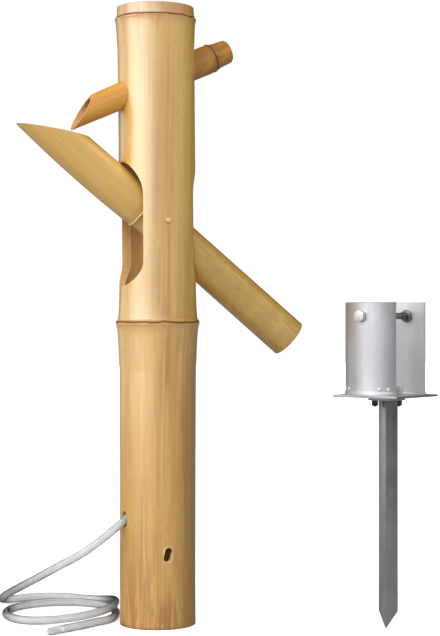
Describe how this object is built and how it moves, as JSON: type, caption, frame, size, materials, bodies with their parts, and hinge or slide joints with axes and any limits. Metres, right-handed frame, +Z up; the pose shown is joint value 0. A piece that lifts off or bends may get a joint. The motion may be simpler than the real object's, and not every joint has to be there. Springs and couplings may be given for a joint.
{
  "type": "shishi odoshi",
  "caption": "Bamboo deer scarer: an upright column with a water spout and a pivoting bamboo rocker, a clear feed hose lying in loops, and a steel ground spike with clamp jaws.",
  "frame": {"origin": "centre of the bamboo column's foot, on the ground", "axes": "+Z up along the column; the rocker swings in the XZ plane, its mouth to -X; the pivot runs along Y and the ground spike stands to +X and -Y"},
  "size_m": [0.6412, 0.4997, 0.978],
  "materials": {
    "column_bamboo": "smooth dry bamboo skin, satin",
    "spout_bamboo": "brown weathered bamboo skin, satin",
    "rocker_bamboo": "smooth yellow bamboo skin, half gloss",
    "dowel_wood": "bare light wood",
    "clear_hose": "clear flexible tube, glossy",
    "jaw_steel": "plated sheet, satin",
    "dark_iron": "dull dark steel",
    "bolt_steel": "bright plated"
  },
  "bodies": {
    "stand": {"bamboo_column": "column_bamboo", "spout_tube": "spout_bamboo", "pivot_dowel": "dowel_wood", "inner_hose": "clear_hose", "hose_drop": "clear_hose", "hose_coil": "clear_hose", "hose_tail": "clear_hose", "hose_end_fitting": "clear_hose", "angle_spike": "dark_iron", "under_plate": "dark_iron", "spike_base_plate": "jaw_steel", "clamp_shell_front": "jaw_steel", "clamp_shell_rear": "jaw_steel", "clamp_bolt": "bolt_steel", "clamp_nut": "bolt_steel", "flange_bolt_left": "bolt_steel", "flange_nut_left": "dark_iron", "flange_bolt_right": "bolt_steel", "flange_nut_right": "dark_iron"},
    "rocker": {"tipper_tube": "rocker_bamboo"}
  },
  "joints": [
    {"name": "rocker_pivot", "type": "hinge", "parent": "stand", "child": "rocker", "pos_m": [0, -0.002, 0.6378], "axis": [0, -1, 0], "range_deg": [0, 79]}
  ]
}
